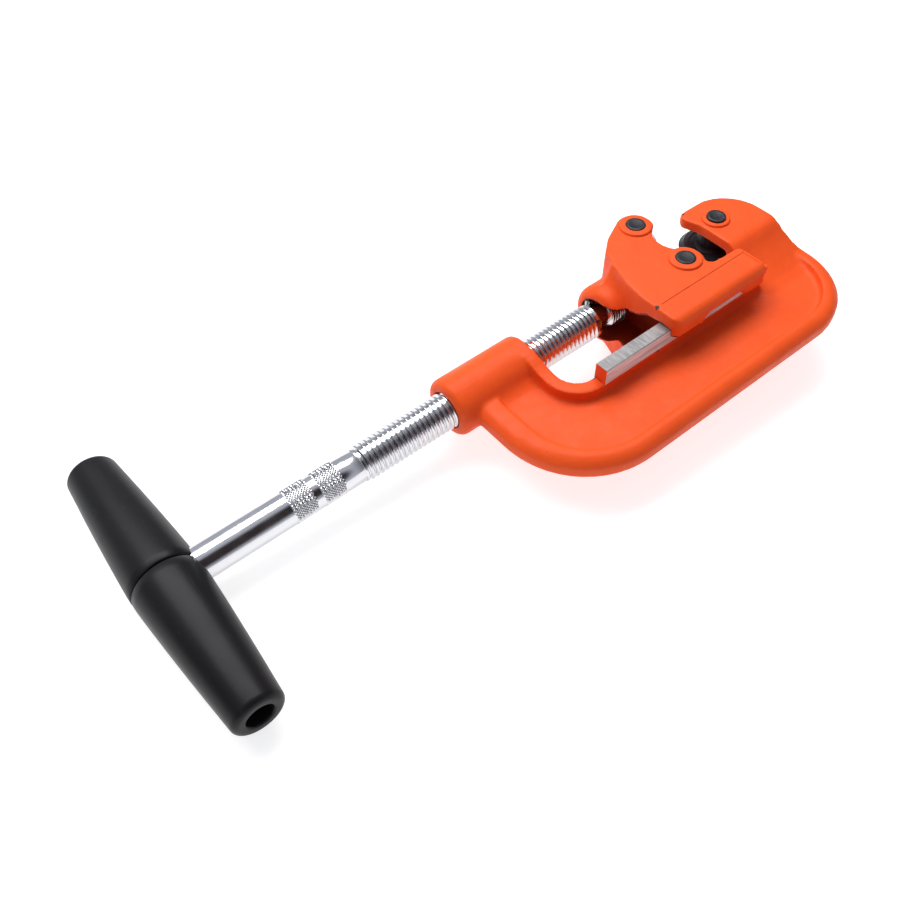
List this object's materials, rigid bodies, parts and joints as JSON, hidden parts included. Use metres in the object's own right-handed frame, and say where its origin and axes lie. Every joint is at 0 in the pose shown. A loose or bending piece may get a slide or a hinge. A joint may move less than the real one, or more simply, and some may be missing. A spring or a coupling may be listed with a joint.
{
  "type": "pipe cutter",
  "caption": "Hand pipe cutter with an orange cast C-frame, one cutting wheel, two rollers and a T-handled feed screw.",
  "frame": {"origin": "centre of the threaded boss's outer end face, on the feed screw's axis", "axes": "+X along the feed screw towards the cutter wheel, +Y out of the frame's mouth, +Z square to the frame's web, upwards as the tool lies on its side"},
  "size_m": [0.3272, 0.1323, 0.0499],
  "materials": {
    "orange_paint": "gloss",
    "screw_chrome": "bright",
    "turned_steel": "turned",
    "black_oxide": "black oxide",
    "grip_plastic": "satin"
  },
  "bodies": {
    "frame": {"frame": "orange_paint", "wheel_pin": "black_oxide", "wheel_pin_clip": "black_oxide"},
    "wheel": {"cutter_wheel": "black_oxide"},
    "slide": {"roller_housing": "orange_paint", "roller_pin_near": "black_oxide", "roller_pin_far": "black_oxide", "roller_clip_near": "black_oxide", "roller_clip_far": "black_oxide", "screw_retaining_pin": "turned_steel", "thrust_washer": "turned_steel"},
    "roller_near": {"roller_near": "turned_steel"},
    "roller_far": {"roller_far": "turned_steel"},
    "screw": {"feed_screw": "screw_chrome", "handle_bar": "turned_steel", "handle_pin": "turned_steel", "grip_near": "grip_plastic", "grip_far": "grip_plastic"}
  },
  "joints": [
    {"name": "slide_feed", "type": "slide", "parent": "frame", "child": "slide", "axis": [1, 0, 0], "range_m": [-0.036, 0.015]},
    {"name": "screw_turn", "type": "hinge", "parent": "slide", "child": "screw", "pos_m": [0, 0, 0], "axis": [1, 0, 0], "range_deg": [-5600, 2330]},
    {"name": "wheel_spin", "type": "hinge", "parent": "frame", "child": "wheel", "pos_m": [0.159, 0, 0], "axis": [0, 0, 1], "continuous": true},
    {"name": "roller_near_spin", "type": "hinge", "parent": "slide", "child": "roller_near", "pos_m": [0.1206, -0.01475, 0], "axis": [0, 0, 1], "continuous": true},
    {"name": "roller_far_spin", "type": "hinge", "parent": "slide", "child": "roller_far", "pos_m": [0.1206, 0.01475, 0], "axis": [0, 0, 1], "continuous": true}
  ],
  "couplings": [
    {"joint": "slide_feed", "follows": "screw_turn", "m_per_rad": 0.00036765}
  ]
}
